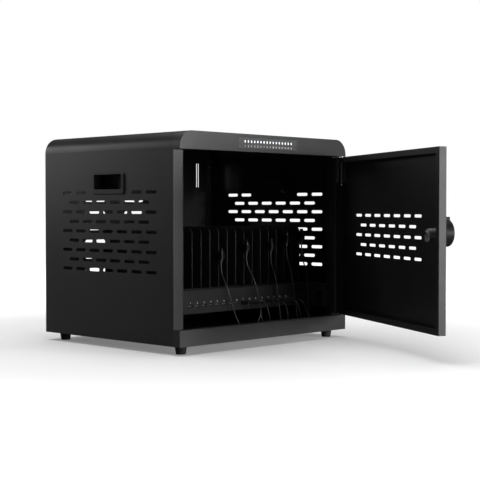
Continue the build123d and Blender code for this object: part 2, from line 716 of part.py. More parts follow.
def lamp_panel():
    window = Pos(0, PANEL_Z) * Rectangle(PANEL_W, PANEL_H)
    ledge = Pos(0, PANEL_Z) * Rectangle(PANEL_W + 2 * PANEL_LEDGE, PANEL_H + 2 * PANEL_LEDGE)
    body = prism_y(window, PANEL_FACE, SKIN_BACK) + prism_y(ledge, SKIN_BACK, LEDGE_BACK)
    return body - prism_y(lamp_slots(), FRONT, LEDGE_BACK)


def lamp_lenses():
    return prism_y(lamp_slots(), PANEL_FACE, PANEL_FACE + LAMP_L)


def lamp_board():
    y0 = PANEL_FACE + LAMP_L
    half = PANEL_W / 2 + PANEL_LEDGE
    return block(-half, half, y0, y0 + BOARD_T, PANEL_Z - PANEL_H / 2, PANEL_Z + PANEL_H / 2)


def lamp_ribbon():
    """Flat cable from the power box up behind the right jamb and along the header to the lamp board."""
    x0, x1 = RIGHT - JAMB_W + RIBBON_INSET, RIGHT - JAMB_W + RIBBON_INSET + RIBBON_W
    front, back = SHELL_FRONT, SHELL_FRONT + RIBBON_T
    board = PANEL_FACE + LAMP_L + BOARD_T
    low, high = SWITCH_Z, PANEL_Z + RIBBON_W / 2
    body = block(x0, x1, front, POWER_FRONT, low - RIBBON_T, low)
    body += block(x0, x1, front, back, low - RIBBON_T, high)
    body += block(x0, x1, board, back, high - RIBBON_T, high)
    return body + block(PANEL_W / 2, x1, board, board + RIBBON_T, high - RIBBON_W, high)


# Door, drawn closed and then swung open about the hinge line
def swing(part):
    return Pos(PIVOT_X, PIVOT_Y, 0) * Rot(0, 0, OPEN_ANGLE) * Pos(-PIVOT_X, -PIVOT_Y, 0) * part


def door_pan():
    body = block(DOOR_LEFT, DOOR_RIGHT, FRONT, DOOR_RIM, DOOR_Z0, DOOR_Z1)
    body = fillet_along(body, Axis.Z, DOOR_EDGE_R)
    x0, x1 = DOOR_LEFT + SHEET, DOOR_RIGHT - SHEET
    z0, z1 = DOOR_Z0 + SHEET, DOOR_Z1 - SHEET
    body -= block(x0, x1, SKIN_BACK, DOOR_RIM - SHEET, z0, z1)
    body -= block(DOOR_LEFT + DOOR_LIP, DOOR_RIGHT - DOOR_LIP, SKIN_BACK, DOOR_RIM + 1,
                  DOOR_Z0 + DOOR_LIP, DOOR_Z1 - DOOR_LIP)
    vents = vent_rows(DOOR_VENT_ROWS, DOOR_VENT_PITCH_X, DOOR_VENT_PITCH_Z, DOOR_VENT_X, DOOR_VENT_Z,
                      DOOR_VENT_L, DOOR_VENT_H)
    body -= prism_y(vents, FRONT - 1, SKIN_BACK + 1)
    body -= rod_y(LOCK_X, LOCK_Z, FRONT - 1, SKIN_BACK + 1, LOCK_R)
    notch_x = DOOR_RIGHT - DOOR_LIP - 1
    body -= block(notch_x, DOOR_RIGHT + 1, DOOR_RIM - HINGE_NOTCH_D, DOOR_RIM + 1,
                  DOOR_Z1 - HINGE_NOTCH, DOOR_Z1 - SHEET)
    body -= rod_z(PIVOT_X, PIVOT_Y, DOOR_Z1 - 2 * SHEET, DOOR_Z1 + 1, PIN_R + RUNNING)
    return body - rod_z(PIVOT_X, PIVOT_Y, DOOR_Z0 - 1, DOOR_Z0 + 2 * SHEET, PIN_R + RUNNING)


BARREL_Z1 = DOOR_Z1 - BARREL_DROP
BARREL_Z0 = BARREL_Z1 - BARREL_L


def hinge_barrel():
    """A tube on a leaf that is welded to the inside of the door skin."""
    body = rod_z(PIVOT_X, PIVOT_Y, BARREL_Z0, BARREL_Z1, BARREL_R)
    body += block(PIVOT_X - LEAF_W, PIVOT_X, SKIN_BACK, SKIN_BACK + LEAF_T, BARREL_Z0, BARREL_Z1)
    return body - rod_z(PIVOT_X, PIVOT_Y, BARREL_Z0, BARREL_Z1, PIN_R + RUNNING)


def hinge_pin():
    z0 = BARREL_Z0 - PIN_TAIL
    body = rod_z(PIVOT_X, PIVOT_Y, z0, HEADER_Z + PIN_PROUD, PIN_R)
    body = chamfer(body.edges().sort_by(Axis.Z)[-1], PIN_POINT)
    return body + Pos(PIVOT_X, PIVOT_Y, z0) * Sphere(PIN_KNOB_R)


def pivot_pin():
    """The lower hinge pin, headed under the sill's top."""
    top = DOOR_Z0 + PIVOT_L - (DOOR_Z0 - SILL_H)
    body = rod_z(PIVOT_X, PIVOT_Y, SILL_H - SHEET, top, PIN_R)
    body += block(PIVOT_X - PIVOT_HEAD_R, PIVOT_X + PIN_R, PIVOT_Y - PIN_R, PIVOT_Y + PIVOT_HEAD_R,
                  SILL_H - SHEET - PIVOT_HEAD_H, SILL_H - SHEET)
    return body


def pivot_washer():
    body = rod_z(PIVOT_X, PIVOT_Y, SILL_H, DOOR_Z0 - CUT_CLEARANCE, WASHER_R)
    return body - rod_z(PIVOT_X, PIVOT_Y, SILL_H, DOOR_Z0, PIN_R + RUNNING)


# Lock, drawn with the door closed
def lock_rose():
    """The fixed plate on the door, behind the knob."""
    body = rod_y(LOCK_X, LOCK_Z, FRONT - ROSE_T, FRONT, ROSE_R)
    return body - rod_y(LOCK_X, LOCK_Z, FRONT - ROSE_T, FRONT, SPINDLE_R + RUNNING)


def lock_barrel():
    body = rod_y(LOCK_X, LOCK_Z, FRONT, LOCK_END, LOCK_R)
    return body - rod_y(LOCK_X, LOCK_Z, FRONT, LOCK_END, SPINDLE_R + RUNNING)


def lock_nut():
    nut = Pos(LOCK_X, LOCK_Z) * RegularPolygon(NUT_FLATS / 2, 6, major_radius=False)
    return prism_y(nut - Pos(LOCK_X, LOCK_Z) * Circle(LOCK_R), SKIN_BACK, SKIN_BACK + NUT_T)


KNOB_BACK = FRONT - ROSE_T - KNOB_GAP
KNOB_FACE = KNOB_BACK - KNOB_T


def lock_knob():
    """The knob with its grip bar, a pointer on its rim, its spindle and the bore for the key plug."""
    body = rod_y(LOCK_X, LOCK_Z, KNOB_FACE, KNOB_BACK, KNOB_R)
    body = fillet(body.edges().group_by(Axis.Y)[0], KNOB_EDGE)
    for side in (-1, 1):
        z = LOCK_Z + side * (GRIP_BAR_W / 2 + KNOB_R)
        cut = block(LOCK_X - GRIP_BAR_L / 2, LOCK_X + GRIP_BAR_L / 2, KNOB_FACE - 1, KNOB_FACE + GRIP_BAR_CUT,
                    z - KNOB_R, z + KNOB_R)
        body -= cut & rod_y(LOCK_X, LOCK_Z, KNOB_FACE - 1, KNOB_BACK, KNOB_R - KNOB_EDGE)
    pointer = face_box(LOCK_X - POINTER_W / 2, LOCK_X + POINTER_W / 2, LOCK_Z + KNOB_R - KNOB_EDGE,
                       LOCK_Z + POINTER_R)
    pointer = fillet(pointer.vertices().group_by(Axis.Y)[-1], POINTER_ROUND)
    body += prism_y(pointer, KNOB_FACE + POINTER_SETBACK, KNOB_BACK)
    body += rod_y(LOCK_X, LOCK_Z, KNOB_BACK, LOCK_END + KNOB_GAP, SPINDLE_R)
    body -= rod_y(LOCK_X, LOCK_Z, KNOB_FACE - 1, KNOB_FACE + KEY_PLUG_L, KEY_PLUG_R + RUNNING)
    return body


def key_plug():
    front, back = KNOB_FACE - KEY_PLUG_PROUD, KNOB_FACE + KEY_PLUG_L - KNOB_GAP
    body = rod_y(LOCK_X, LOCK_Z, front, back, KEY_PLUG_R)
    w, h, deep = KEY_SLOT
    return body - block(LOCK_X - w / 2, LOCK_X + w / 2, front - 1, KNOB_FACE + deep,
                        LOCK_Z - h / 2, LOCK_Z + h / 2)


def lock_cam():
    """The cam hangs down when the lock is open, and points at the jamb when it is locked."""
    plate = Pos(LOCK_X, LOCK_Z) * Circle(CAM_W / 2)
    plate += face_box(LOCK_X - CAM_W / 2, LOCK_X + CAM_W / 2, LOCK_Z - CAM_L, LOCK_Z)
    plate = fillet(plate.vertices().group_by(Axis.Y)[0], CAM_TIP_R)
    return prism_y(plate, CAM_FACE, CAM_FACE + CAM_T)


def cam_screw():
    y = CAM_FACE + CAM_T
    return rod_y(LOCK_X, LOCK_Z, y, y + CAM_SCREW_H, CAM_SCREW_R)


# Charging leads. Each list runs from the plug in the hub to the connector in its clip.
CLIP_Y = DIVIDER_FRONT - CLIP_WALL - CLIP_SLACK - HEAD_D / 2
LEADS = [
    (9, [(12.9, -162, 70), (12.9, -182, 70), (10, -189, 51), (3, -186, 31), (-6, -173, 14),
         (-18, -157, 19), (-28, -151, 39), (-37, -148, 66), (-44, -145, 95), (-50, -138, 118),
         (-52.3, -128.6, 137), (-52.3, -128.6, 155)]),
    (10, [(32.7, -162, 70), (32.7, -181, 70), (35, -188, 51), (41, -186, 30), (49, -173, 13),
          (53, -156, 17), (51, -150, 38), (48, -149, 66), (42, -147, 96), (33, -142, 126),
          (26.2, -128.6, 152), (26.2, -128.6, 172)]),
    (13, [(92.1, -162, 70), (92.1, -182, 70), (93, -190, 51), (97, -188, 30), (104, -175, 13),
          (110, -158, 16), (112, -151, 37), (110, -149, 66), (107, -147, 97), (105, -141, 128),
          (104.6, -128.6, 154), (104.6, -128.6, 173)]),
    (15, [(131.7, -162, 70), (131.7, -181, 70), (135, -188, 51), (142, -186, 30), (152, -174, 13),
          (163, -159, 16), (167, -152, 37), (165, -149, 67), (161, -147, 99), (158, -143, 133),
          (157, -128.6, 168), (157, -128.6, 190)]),
    (16, [(151.5, -162, 70), (151.5, -182, 70), (156, -189, 51), (166, -188, 31), (179, -181, 15),
          (193, -168, 14), (203, -157, 30), (207, -152, 56), (209, -148, 88), (210, -145, 126),
          (209.3, -128.6, 166), (209.3, -128.6, 194)]),
]


def path_radii(points):
    """The largest tangent arcs that each pair of runs allows, leaving a straight middle."""
    radii = []
    for a, b, c in zip(points, points[1:], points[2:]):
        u, v = Vector(*b) - Vector(*a), Vector(*c) - Vector(*b)
        turn = radians(u.get_angle(v))
        radii.append(0.45 * min(u.length, v.length) / tan(turn / 2))
    return radii


def lead(number, points):
    radii = path_radii(points)
    path = FilletPolyline(*points, radius=radii)
    start = Plane(origin=points[0], z_dir=Vector(*points[1]) - Vector(*points[0]))
    body = sweep(start * Circle(LEAD_D / 2), path=path)
    print("lead", number, "length", round(path.length, 1), "least radius", round(min(radii), 1),
          "volume over section times length",
          round(body.volume / (path.length * pi * (LEAD_D / 2) ** 2), 4))
    return body


def lead_plug(port):
    """A plug in its port: hollow metal tip, moulded grip and a tapered strain relief."""
    x, z = port_x(port), PORT_Z
    grip = block(x - PLUG_W / 2, x + PLUG_W / 2, HUB_FRONT - PLUG_L, HUB_FRONT,
                 z - PLUG_H / 2, z + PLUG_H / 2)
    grip = fillet_along(grip, Axis.Y, PLUG_R)
    relief = Rot(90, 0, 0) * Cone(PLUG_H / 2 - RELIEF_STEP, RELIEF_R, RELIEF_L)
    relief = Pos(x, HUB_FRONT - PLUG_L - RELIEF_L / 2, z) * relief
    tip = block(x - PLUG_TIP_W / 2, x + PLUG_TIP_W / 2, HUB_FRONT, HUB_FRONT + PLUG_TIP_L,
                z - PLUG_TIP_H / 2, z + PLUG_TIP_H / 2)
    wall = PLUG_TIP_WALL
    tip -= block(x - PLUG_TIP_W / 2 + wall, x + PLUG_TIP_W / 2 - wall, HUB_FRONT, HUB_FRONT + PLUG_TIP_L,
                 z - PLUG_TIP_H / 2 + wall, z + PLUG_TIP_H / 2 - wall)
    return grip + relief + tip


def lead_head(x, z0):
    """The device end of a lead, held upright in its clip, tip up."""
    y = CLIP_Y
    body = block(x - HEAD_W / 2, x + HEAD_W / 2, y - HEAD_D / 2, y + HEAD_D / 2,
                 z0 + RELIEF_L, z0 + RELIEF_L + HEAD_L)
    body = fillet_along(body, Axis.Z, HEAD_R)
    body += Pos(x, y, z0 + RELIEF_L / 2) * Cone(RELIEF_R, HEAD_W / 2 - HEAD_STEP, RELIEF_L)
    w, d, h = HEAD_TIP
    z1 = z0 + RELIEF_L + HEAD_L
    return body + block(x - w / 2, x + w / 2, y - d / 2, y + d / 2, z1, z1 + h)


def cable_clips():
    """Clips on the front edges of dividers. Each grips its divider behind and a lead's end in front."""
    body = Part()
    for port, points in LEADS:
        x, z0 = points[-1][0], points[-1][2]
        z = z0 + RELIEF_L + HEAD_L / 2
        w = HEAD_W / 2 + CLIP_WALL + CLIP_SLACK
        d = HEAD_D / 2 + CLIP_SLACK
        low, high = z - CLIP_H / 2, z + CLIP_H / 2
        ring = block(x - w, x + w, CLIP_Y - d - CLIP_WALL, CLIP_Y + d + CLIP_WALL, low, high)
        ring -= block(x - w + CLIP_WALL, x + w - CLIP_WALL, CLIP_Y - d, CLIP_Y + d, low, high)
        ring -= block(x - CLIP_MOUTH / 2, x + CLIP_MOUTH / 2, CLIP_Y - d - 2 * CLIP_WALL, CLIP_Y, low, high)
        jaw = DIVIDER_T / 2 + CLIP_SLACK
        for side in (-1, 1):
            edge = sorted((side * jaw, side * (jaw + CLIP_WALL)))
            ring += block(x + edge[0], x + edge[1], CLIP_Y + d, DIVIDER_FRONT + CLIP_GRIP, low, high)
        body += ring
    return body


def build():
    parts["floor_pan"] = floor_pan()
    parts["sill"] = sill()
    parts["header"] = header()
    parts["left_side_panel"] = side_panel()
    parts["right_side_panel"] = mirror(side_panel(), about=Plane.YZ)
    parts["top_panel"] = top_panel()
    parts["left_jamb"] = jamb(True)
    parts["right_jamb"] = mirror(jamb(False), about=Plane.YZ)
    parts["rear_frame"] = rear_frame()
    parts["back_panel"] = back_panel()
    parts["back_screws"] = back_screws()
    parts["left_handle"] = handle_cup()
    parts["right_handle"] = mirror(handle_cup(), about=Plane.YZ)
    parts["feet"] = feet()
    parts["foot_screws"] = foot_screws()
    parts["foot_nuts"] = foot_nuts()
    parts["shelf"] = shelf()
    parts["rack_tray"] = rack_tray()
    parts["bay_dividers"] = bay_dividers()
    parts["hub_housing"] = hub_housing()
    parts["hub_front"] = hub_front()
    parts["usb_ports"] = usb_ports()
    parts["hub_board"] = hub_board()
    parts["power_supply"] = power_supply()
    parts["power_box"] = power_box()
    parts["switch_body"] = switch_body()
    parts["power_rocker"] = rocker()
    parts["mains_inlet"] = mains_inlet()
    parts["lamp_panel"] = lamp_panel()
    parts["lamp_lenses"] = lamp_lenses()
    parts["lamp_board"] = lamp_board()
    parts["lamp_ribbon"] = lamp_ribbon()
    parts["pivot_pin"] = pivot_pin()
    parts["pivot_washer"] = pivot_washer()
    parts["door_pan"] = swing(door_pan())
    parts["hinge_barrel"] = swing(hinge_barrel())
    parts["hinge_pin"] = swing(hinge_pin())
    parts["lock_rose"] = swing(lock_rose())
    parts["lock_barrel"] = swing(lock_barrel())
    parts["lock_nut"] = swing(lock_nut())
    parts["lock_knob"] = swing(lock_knob())
    parts["key_plug"] = swing(key_plug())
    parts["lock_cam"] = swing(lock_cam())
    parts["cam_screw"] = swing(cam_screw())
    for number, (port, points) in enumerate(LEADS, 1):
        parts[f"lead_{number}"] = lead(number, points)
        parts[f"lead_{number}_plug"] = lead_plug(port)
        parts[f"lead_{number}_head"] = lead_head(points[-1][0], points[-1][2])
    parts["cable_clips"] = cable_clips()


build()
for name, part in parts.items():
    export_step(part, f"parts/{name}.step")
lock_axis = swing(Pos(LOCK_X, FRONT, LOCK_Z))
print("hinge line", PIVOT_X, PIVOT_Y, "lock axis point", lock_axis.position)
print("lock axis, inward", round(-sin(radians(OPEN_ANGLE)), 5), round(cos(radians(OPEN_ANGLE)), 5))
print("nodes", len(parts))
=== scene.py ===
import json
import math

import bmesh
import bpy
from mathutils import Matrix, Vector


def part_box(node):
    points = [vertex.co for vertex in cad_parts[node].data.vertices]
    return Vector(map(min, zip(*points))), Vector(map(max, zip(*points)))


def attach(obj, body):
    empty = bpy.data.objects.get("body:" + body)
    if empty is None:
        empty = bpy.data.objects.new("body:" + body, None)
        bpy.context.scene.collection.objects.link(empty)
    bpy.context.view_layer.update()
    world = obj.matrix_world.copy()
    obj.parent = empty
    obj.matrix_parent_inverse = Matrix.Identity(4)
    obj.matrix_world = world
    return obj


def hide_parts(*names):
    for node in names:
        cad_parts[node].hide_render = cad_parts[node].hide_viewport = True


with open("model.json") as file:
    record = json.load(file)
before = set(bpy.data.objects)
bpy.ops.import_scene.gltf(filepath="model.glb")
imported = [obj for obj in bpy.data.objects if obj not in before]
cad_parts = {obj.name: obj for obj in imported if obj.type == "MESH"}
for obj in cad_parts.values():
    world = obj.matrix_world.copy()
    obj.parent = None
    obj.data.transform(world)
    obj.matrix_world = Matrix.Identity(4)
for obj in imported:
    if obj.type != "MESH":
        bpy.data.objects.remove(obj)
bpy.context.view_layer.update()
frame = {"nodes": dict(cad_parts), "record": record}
nodes = frame["nodes"]
mm = 0.001  # in metres

# camera at the photo's viewpoint
cameraView = {
    "place": (-1.8192, -1.9094, 0.2739),  # metres
    "yaw": 45.71,  # degrees from +Y towards +X
    "pitch": -1.52,  # degrees, below 0 looks down
    "lens": 87.645,  # millimetres, as the sensor
    "sensor": 36.0,
    "nearest": 0.01,  # metres
}

cameraData = bpy.data.cameras.new("photoCamera")
cameraData.lens = cameraView["lens"]
cameraData.sensor_width = cameraView["sensor"]
cameraData.sensor_fit = "HORIZONTAL"
cameraData.clip_start = cameraView["nearest"]
camera = bpy.data.objects.new("photoCamera", cameraData)
camera.location = cameraView["place"]
camera.rotation_euler = (math.radians(90 + cameraView["pitch"]), 0, math.radians(-cameraView["yaw"]))
bpy.context.scene.collection.objects.link(camera)
bpy.context.scene.camera = camera
print("stage: camera")

# charging leads, from the plug's strain relief to the connector in its clip, in millimetres
leads = {
    "diameter": 3.0,
    "ringSteps": 5,
    "runSteps": 12,
    "lengths": {1: 0.245, 2: 0.2575, 3: 0.2582, 4: 0.2763, 5: 0.2884},  # metres
    "routes": {
        1: [(12.9, -162, 70), (12.9, -182, 70), (10, -189, 51), (3, -186, 31), (-6, -173, 14),
            (-18, -157, 19), (-28, -151, 39), (-37, -148, 66), (-44, -145, 95), (-50, -138, 118),
            (-52.3, -128.6, 137), (-52.3, -128.6, 155)],
        2: [(32.7, -162, 70), (32.7, -181, 70), (35, -188, 51), (41, -186, 30), (49, -173, 13),
            (53, -156, 17), (51, -150, 38), (48, -149, 66), (42, -147, 96), (33, -142, 126),
            (26.2, -128.6, 152), (26.2, -128.6, 172)],
        3: [(92.1, -162, 70), (92.1, -182, 70), (93, -190, 51), (97, -188, 30), (104, -175, 13),
            (110, -158, 16), (112, -151, 37), (110, -149, 66), (107, -147, 97), (105, -141, 128),
            (104.6, -128.6, 154), (104.6, -128.6, 173)],
        4: [(131.7, -162, 70), (131.7, -181, 70), (135, -188, 51), (142, -186, 30), (152, -174, 13),
            (163, -159, 16), (167, -152, 37), (165, -149, 67), (161, -147, 99), (158, -143, 133),
            (157, -128.6, 168), (157, -128.6, 190)],
        5: [(151.5, -162, 70), (151.5, -182, 70), (156, -189, 51), (166, -188, 31), (179, -181, 15),
            (193, -168, 14), (203, -157, 30), (207, -152, 56), (209, -148, 88), (210, -145, 126),
            (209.3, -128.6, 166), (209.3, -128.6, 194)],
    },
}


def makeLead(number, route):
    data = bpy.data.curves.new(f"leadCord{number}", "CURVE")
    data.dimensions = "3D"
    data.bevel_depth = 1.0  # each point's radius carries the real size, so the bounding box is true
    data.bevel_resolution = leads["ringSteps"]
    data.resolution_u = leads["runSteps"]
    data.use_fill_caps = True
    spline = data.splines.new("NURBS")
    spline.points.add(len(route) - 1)
    for point, place in zip(spline.points, route):
        point.co = (*(Vector(place) * mm), 1)
        point.radius = leads["diameter"] * mm / 2
    spline.order_u = 3
    spline.use_endpoint_u = True
    cord = bpy.data.objects.new(f"leadCord{number}", data)
    bpy.context.scene.collection.objects.link(cord)
    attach(cord, "cabinet")
    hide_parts(f"lead_{number}")
    return cord


leadCords = [makeLead(number, route) for number, route in leads["routes"].items()]
print("stage: leads")


# what every finish shares: a slow drift of tone and gloss, and a fine grain in relief
relief = {
    "driftScale": 9.0,  # features a metre
    "driftDetail": 4.0,
    "driftRough": 0.55,
    "grainDetail": 2.0,
    "grainRough": 0.6,
    "noiseRange": (0.3, 0.7),  # where most of the noise lies
    "strength": 0.4,
    "edgeSamples": 4,
}


def newMaterial(name):
    material = bpy.data.materials.new(name)
    material.use_nodes = True
    tree = material.node_tree
    return material, tree, tree.nodes["Principled BSDF"]


# noise on object coordinates, scale in features a metre
def objectNoise(tree, scale, detail=3.0, rough=0.5, stretch=(1, 1, 1)):
    place = tree.nodes.new("ShaderNodeTexCoord")
    mapping = tree.nodes.new("ShaderNodeMapping")
    mapping.inputs["Scale"].default_value = stretch
    noise = tree.nodes.new("ShaderNodeTexNoise")
    noise.inputs["Scale"].default_value = scale
    noise.inputs["Detail"].default_value = detail
    noise.inputs["Roughness"].default_value = rough
    tree.links.new(place.outputs["Object"], mapping.inputs["Vector"])
    tree.links.new(mapping.outputs["Vector"], noise.inputs["Vector"])
    return noise.outputs["Fac"]


# noise spread over the range from low to high
def spread(tree, value, low, high):
    ramp = tree.nodes.new("ShaderNodeMapRange")
    noiseLow, noiseHigh = relief["noiseRange"]
    ramp.inputs["From Min"].default_value = noiseLow
    ramp.inputs["From Max"].default_value = noiseHigh
    ramp.inputs["To Min"].default_value = low
    ramp.inputs["To Max"].default_value = high
    tree.links.new(value, ramp.inputs["Value"])
    return ramp.outputs["Result"]


def tint(tree, value, dark, light):
    mix = tree.nodes.new("ShaderNodeMix")
    mix.data_type = "RGBA"
    mix.inputs["A"].default_value = (*dark, 1)
    mix.inputs["B"].default_value = (*light, 1)
    tree.links.new(value, mix.inputs["Factor"])
    return mix.outputs["Result"]


def bumpFrom(tree, value, depth, edge):
    bump = tree.nodes.new("ShaderNodeBump")
    bump.inputs["Distance"].default_value = depth
    bump.inputs["Strength"].default_value = relief["strength"]
    tree.links.new(value, bump.inputs["Height"])
    if edge:
        soft = tree.nodes.new("ShaderNodeBevel")  # folded and moulded edges catch a line of light
        soft.samples = relief["edgeSamples"]
        soft.inputs["Radius"].default_value = edge
        tree.links.new(soft.outputs["Normal"], bump.inputs["Normal"])
    return bump.outputs["Normal"]


def makeFinish(name, spec):
    material, tree, surface = newMaterial(name)
    stretch = spec.get("stretch", (1, 1, 1))
    drift = objectNoise(tree, relief["driftScale"], relief["driftDetail"], relief["driftRough"], stretch)
    grain = objectNoise(tree, spec["grain"], relief["grainDetail"], relief["grainRough"], stretch)
    tone = tint(tree, spread(tree, drift, 0.0, 1.0), *spec["colour"])
    roughness = spread(tree, drift, *spec["rough"])
    normal = bumpFrom(tree, grain, spec["depth"] * mm, spec.get("edge", 0.0) * mm)
    tree.links.new(tone, surface.inputs["Base Color"])
    tree.links.new(roughness, surface.inputs["Roughness"])
    tree.links.new(normal, surface.inputs["Normal"])
    surface.inputs["Metallic"].default_value = spec.get("metal", 0.0)
    surface.inputs["Specular IOR Level"].default_value = spec.get("gloss", 0.5)
    return material


# depth and edge in millimetres, grain in features a metre
finishes = {
    "casePaint": {"colour": ((0.012, 0.012, 0.0125), (0.016, 0.016, 0.0165)),
                  "grain": 1500, "depth": 0.05, "rough": (0.38, 0.44), "gloss": 0.55, "edge": 0.9},
    "shellPaint": {"colour": ((0.008, 0.008, 0.0085), (0.011, 0.011, 0.0115)),
                   "grain": 1500, "depth": 0.05, "rough": (0.36, 0.42), "gloss": 0.5, "edge": 0.5},
    # the inside's black paint, set lighter than the outer paint: painted light that stands in for the light
    # the interior lacks
    "innerPaintPaintedLight": {"colour": ((0.02, 0.02, 0.0205), (0.026, 0.026, 0.0265)),
                   "grain": 1500, "depth": 0.05, "rough": (0.46, 0.54), "gloss": 0.5, "edge": 0.5},
    "panelBlack": {"colour": ((0.045, 0.045, 0.046), (0.052, 0.052, 0.053)),
                   "grain": 2600, "depth": 0.03, "rough": (0.4, 0.46), "gloss": 0.5, "edge": 0.4},
    "dividerBlack": {"colour": ((0.014, 0.014, 0.0145), (0.02, 0.02, 0.0205)),
                     "grain": 2600, "depth": 0.03, "rough": (0.3, 0.4), "gloss": 0.6, "edge": 0.7},
    "hingeGrey": {"colour": ((0.2, 0.2, 0.205), (0.25, 0.25, 0.255)),
                  "grain": 2200, "depth": 0.005, "rough": (0.26, 0.32), "metal": 0.9, "edge": 0.4},
    "nutSteel": {"colour": ((0.6, 0.6, 0.61), (0.7, 0.7, 0.71)),
                 "grain": 1800, "depth": 0.01, "rough": (0.18, 0.26), "metal": 1.0, "edge": 0.4},
    "doorPaint": {"colour": ((0.01, 0.01, 0.0105), (0.014, 0.014, 0.0145)),
                  "grain": 1500, "depth": 0.05, "rough": (0.38, 0.45), "gloss": 0.5, "edge": 0.7},
    "mouldedBlack": {"colour": ((0.007, 0.007, 0.0075), (0.011, 0.011, 0.0115)),
                     "grain": 2600, "depth": 0.04, "rough": (0.4, 0.52), "gloss": 0.4, "edge": 0.4},
    "glossBlack": {"colour": ((0.008, 0.008, 0.009), (0.012, 0.012, 0.013)),
                   "grain": 3000, "depth": 0.01, "rough": (0.22, 0.32), "gloss": 0.5, "edge": 0.3},
    "knobBlack": {"colour": ((0.006, 0.006, 0.0065), (0.009, 0.009, 0.0095)),
                  "grain": 2600, "depth": 0.03, "rough": (0.42, 0.5), "gloss": 0.25, "edge": 0.5},
    "footRubber": {"colour": ((0.011, 0.011, 0.011), (0.019, 0.019, 0.019)),
                   "grain": 1800, "depth": 0.08, "rough": (0.68, 0.82), "gloss": 0.3},
    "zincSteel": {"colour": ((0.42, 0.42, 0.43), (0.55, 0.55, 0.55)),
                  "grain": 1400, "depth": 0.02, "rough": (0.25, 0.4), "metal": 1.0, "edge": 0.2},
    "hingeSteel": {"colour": ((0.5, 0.5, 0.51), (0.62, 0.62, 0.63)),
                   "grain": 2200, "depth": 0.02, "rough": (0.2, 0.32), "metal": 1.0, "stretch": (1, 1, 0.06)},
    "lockMetal": {"colour": ((0.26, 0.26, 0.265), (0.33, 0.33, 0.335)),
                  "grain": 2600, "depth": 0.015, "rough": (0.42, 0.52), "metal": 0.35, "edge": 0.4},
    "boardGreen": {"colour": ((0.02, 0.09, 0.035), (0.03, 0.13, 0.05)),
                   "grain": 900, "depth": 0.03, "rough": (0.35, 0.5)},
    "supplyMetal": {"colour": ((0.45, 0.45, 0.46), (0.55, 0.55, 0.56)),
                    "grain": 1600, "depth": 0.03, "rough": (0.35, 0.5), "metal": 1.0},
    "ribbonGrey": {"colour": ((0.03, 0.03, 0.032), (0.05, 0.05, 0.052)),
                   "grain": 800, "depth": 0.05, "rough": (0.5, 0.6), "stretch": (6, 6, 0.1)},
    "leadSheath": {"colour": ((0.02, 0.02, 0.0205), (0.028, 0.028, 0.0285)),
                   "grain": 1800, "depth": 0.03, "rough": (0.28, 0.38), "gloss": 0.6},
    "markWhite": {"colour": ((0.85, 0.85, 0.85), (0.95, 0.95, 0.95)),
                  "grain": 2000, "depth": 0.01, "rough": (0.5, 0.6)},
}
made = {name: makeFinish(name, spec) for name, spec in finishes.items()}

lampLook = {
    "grain": 700,
    "dim": (0.8, 0.86, 0.92),
    "bright": (1, 1, 1),
    "glow": 0.9,
    "rough": 0.35,
}


def makeLampWhite():
    material, tree, surface = newMaterial("lampWhite")
    drift = spread(tree, objectNoise(tree, lampLook["grain"]), 0.0, 1.0)
    glow = tint(tree, drift, lampLook["dim"], lampLook["bright"])
    tree.links.new(glow, surface.inputs["Base Color"])
    tree.links.new(glow, surface.inputs["Emission Color"])
    surface.inputs["Emission Strength"].default_value = lampLook["glow"]
    surface.inputs["Roughness"].default_value = lampLook["rough"]
    return material


# dark sockets, with a pale band at the middle height, where their contact tongues are
portLook = {
    "height": 70.0,  # millimetres
    "band": 1.0,  # half its height
    "shell": (0.01, 0.01, 0.011),
    "contact": (0.16, 0.16, 0.165),
    "grain": 900,
    "rough": (0.35, 0.5),
}


def makePortFinish():
    material, tree, surface = newMaterial("portPlastic")
    place = tree.nodes.new("ShaderNodeTexCoord")
    split = tree.nodes.new("ShaderNodeSeparateXYZ")
    band = tree.nodes.new("ShaderNodeMath")
    band.operation = "COMPARE"
    band.inputs[1].default_value = portLook["height"] * mm
    band.inputs[2].default_value = portLook["band"] * mm
    tree.links.new(place.outputs["Object"], split.inputs["Vector"])
    tree.links.new(split.outputs["Z"], band.inputs[0])
    tone = tint(tree, band.outputs["Value"], portLook["shell"], portLook["contact"])
    roughness = spread(tree, objectNoise(tree, portLook["grain"]), *portLook["rough"])
    tree.links.new(tone, surface.inputs["Base Color"])
    tree.links.new(roughness, surface.inputs["Roughness"])
    return material


made["lampWhite"] = makeLampWhite()
made["portPlastic"] = makePortFinish()

slotFinish = {
    "case_black": "casePaint", "shell_black": "shellPaint", "inner_black": "innerPaintPaintedLight",
    "door_black": "doorPaint", "moulded_black": "mouldedBlack", "switch_plastic": "glossBlack",
    "foot_rubber": "footRubber", "screw_steel": "zincSteel", "hinge_steel": "hingeSteel",
    "lock_black": "knobBlack", "lock_metal": "lockMetal", "port_plastic": "portPlastic",
    "board_green": "boardGreen", "supply_metal": "supplyMetal", "lamp_white": "lampWhite",
    "ribbon_grey": "ribbonGrey", "lead_black": "leadSheath",
}

# nodes that look unlike the rest of their slot
nodeFinish = {
    "lamp_panel": "panelBlack",
    "bay_dividers": "dividerBlack",
    "hinge_barrel": "hingeGrey",
    "lock_nut": "nutSteel",
}


def dress(piece, finish):
    piece.data.materials.clear()
    piece.data.materials.append(made[finish])


for entry in frame["record"]["subparts"]:
    node = entry["node"]
    dress(nodes[node], nodeFinish.get(node, slotFinish[entry["material_slot"]]))
for cord in leadCords:
    dress(cord, "leadSheath")
print("stage: materials")


def addPiece(name, mesh, body, finish):
    piece = bpy.data.objects.new(name, mesh)
    bpy.context.scene.collection.objects.link(piece)
    dress(piece, finish)
    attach(piece, body)


